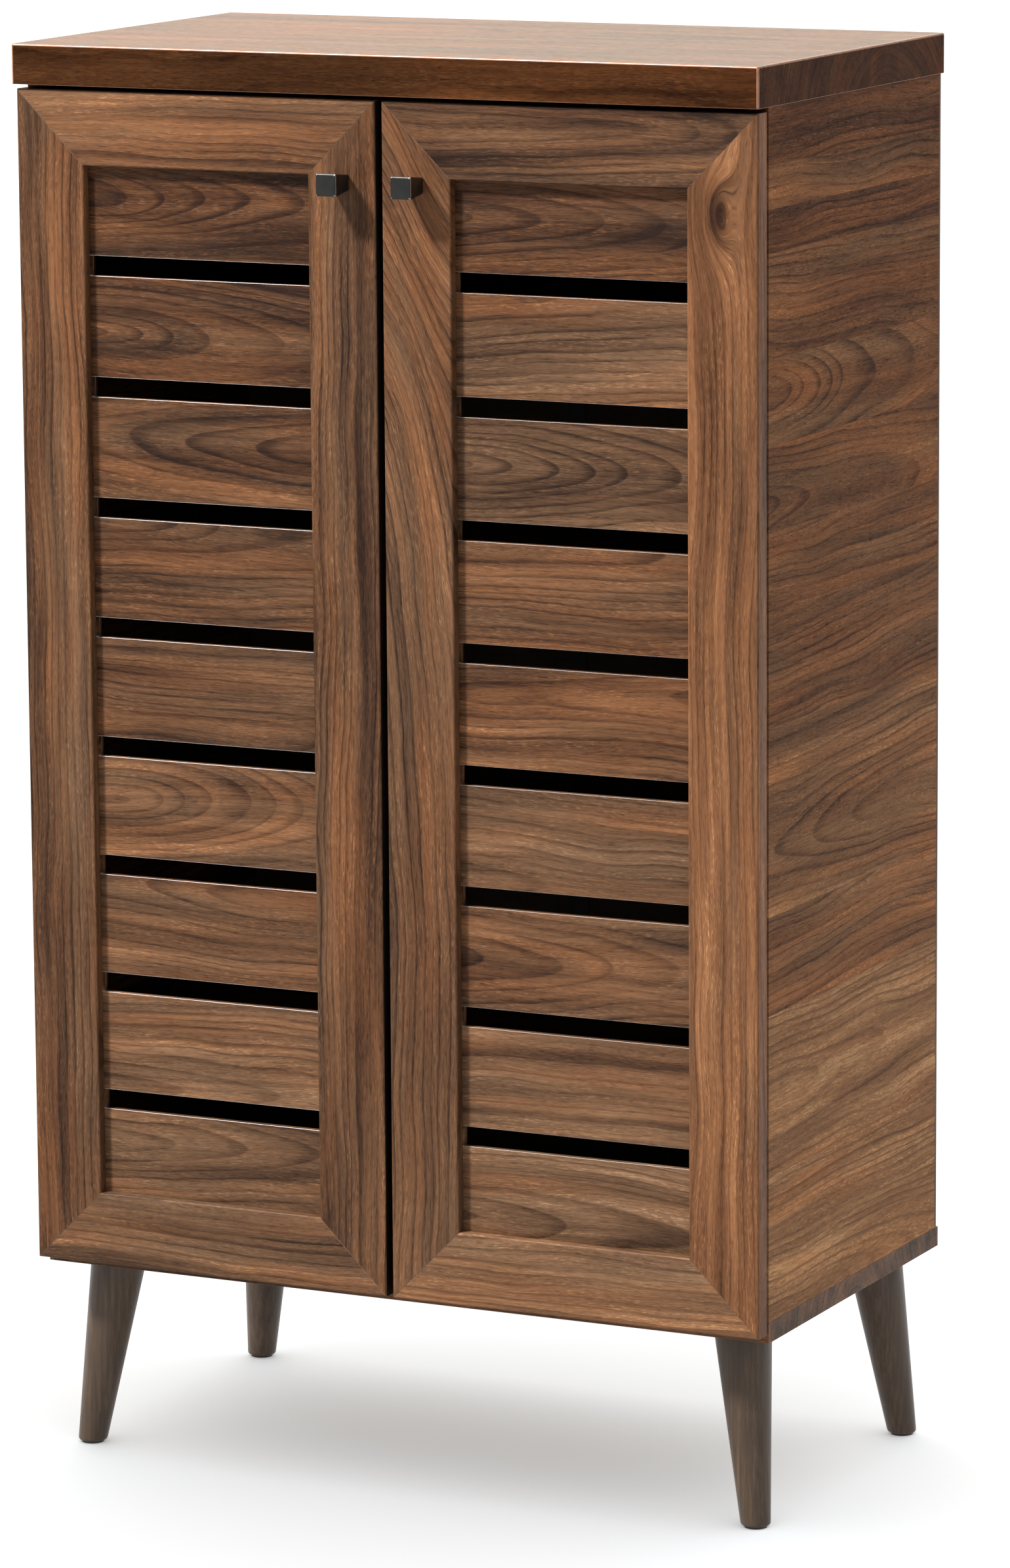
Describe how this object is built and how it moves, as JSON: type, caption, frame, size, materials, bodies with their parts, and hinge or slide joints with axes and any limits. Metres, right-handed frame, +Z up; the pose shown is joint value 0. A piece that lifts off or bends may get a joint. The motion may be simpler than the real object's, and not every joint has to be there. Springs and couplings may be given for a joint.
{
  "type": "shoe cabinet",
  "caption": "Free-standing walnut-look shoe cabinet: paired framed doors with slotted panels, square knobs, inner shelves and splayed round tapered legs.",
  "frame": {"origin": "on the floor, at the centre of the bounding box's underside", "axes": "+Z up, +X to the cabinet's right seen from the front, the doors face -Y"},
  "size_m": [0.5994, 0.3622, 1.0693],
  "materials": {
    "slab_walnut": "satin dark walnut foil, grain along the width",
    "body_walnut": "satin medium walnut foil with strong streaks",
    "inside_walnut": "matt walnut foil",
    "back_board": "matt thin fibreboard",
    "leg_wood": "satin dark brown stain",
    "knob_metal": "satin gunmetal",
    "steel_hardware": "nickel plated",
    "dark_plastic": "matt",
    "clear_rubber": "soft, translucent grey"
  },
  "bodies": {
    "carcass": {"top_slab": "slab_walnut", "side_panel_left": "body_walnut", "side_panel_right": "body_walnut", "bottom_board": "body_walnut", "back_panel_left": "back_board", "back_panel_right": "back_board", "back_joiner": "dark_plastic", "fixed_shelf": "inside_walnut", "shelf_1": "inside_walnut", "shelf_3": "inside_walnut", "shelf_4": "inside_walnut", "pin_1_front_left": "steel_hardware", "pin_1_front_right": "steel_hardware", "pin_1_rear_left": "steel_hardware", "pin_1_rear_right": "steel_hardware", "pin_3_front_left": "steel_hardware", "pin_3_front_right": "steel_hardware", "pin_3_rear_left": "steel_hardware", "pin_3_rear_right": "steel_hardware", "pin_4_front_left": "steel_hardware", "pin_4_front_right": "steel_hardware", "pin_4_rear_left": "steel_hardware", "pin_4_rear_right": "steel_hardware", "leg_front_left": "leg_wood", "leg_bolt_front_left": "steel_hardware", "floor_glide_front_left": "dark_plastic", "leg_front_right": "leg_wood", "leg_bolt_front_right": "steel_hardware", "floor_glide_front_right": "dark_plastic", "leg_rear_left": "leg_wood", "leg_bolt_rear_left": "steel_hardware", "floor_glide_rear_left": "dark_plastic", "leg_rear_right": "leg_wood", "leg_bolt_rear_right": "steel_hardware", "floor_glide_rear_right": "dark_plastic", "hinge_arm_bottom_left": "steel_hardware", "hinge_arm_top_left": "steel_hardware", "door_bumper_left": "clear_rubber", "hinge_arm_bottom_right": "steel_hardware", "hinge_arm_top_right": "steel_hardware", "door_bumper_right": "clear_rubber"},
    "door_left": {"door_left_hinge_stile": "body_walnut", "door_left_meeting_stile": "body_walnut", "door_left_top_rail": "body_walnut", "door_left_bottom_rail": "body_walnut", "door_left_slotted_panel": "body_walnut", "knob_left": "knob_metal", "knob_screw_left": "steel_hardware", "hinge_cup_bottom_left": "steel_hardware", "hinge_cup_top_left": "steel_hardware"},
    "door_right": {"door_right_hinge_stile": "body_walnut", "door_right_meeting_stile": "body_walnut", "door_right_top_rail": "body_walnut", "door_right_bottom_rail": "body_walnut", "door_right_slotted_panel": "body_walnut", "knob_right": "knob_metal", "knob_screw_right": "steel_hardware", "hinge_cup_bottom_right": "steel_hardware", "hinge_cup_top_right": "steel_hardware"}
  },
  "joints": [
    {"name": "door_left_hinge", "type": "hinge", "parent": "carcass", "child": "door_left", "pos_m": [-0.2944, -0.1433, 0.5944], "axis": [0, 0, -1], "range_deg": [0, 105]},
    {"name": "door_right_hinge", "type": "hinge", "parent": "carcass", "child": "door_right", "pos_m": [0.2944, -0.1433, 0.5944], "axis": [0, 0, 1], "range_deg": [0, 105]}
  ]
}
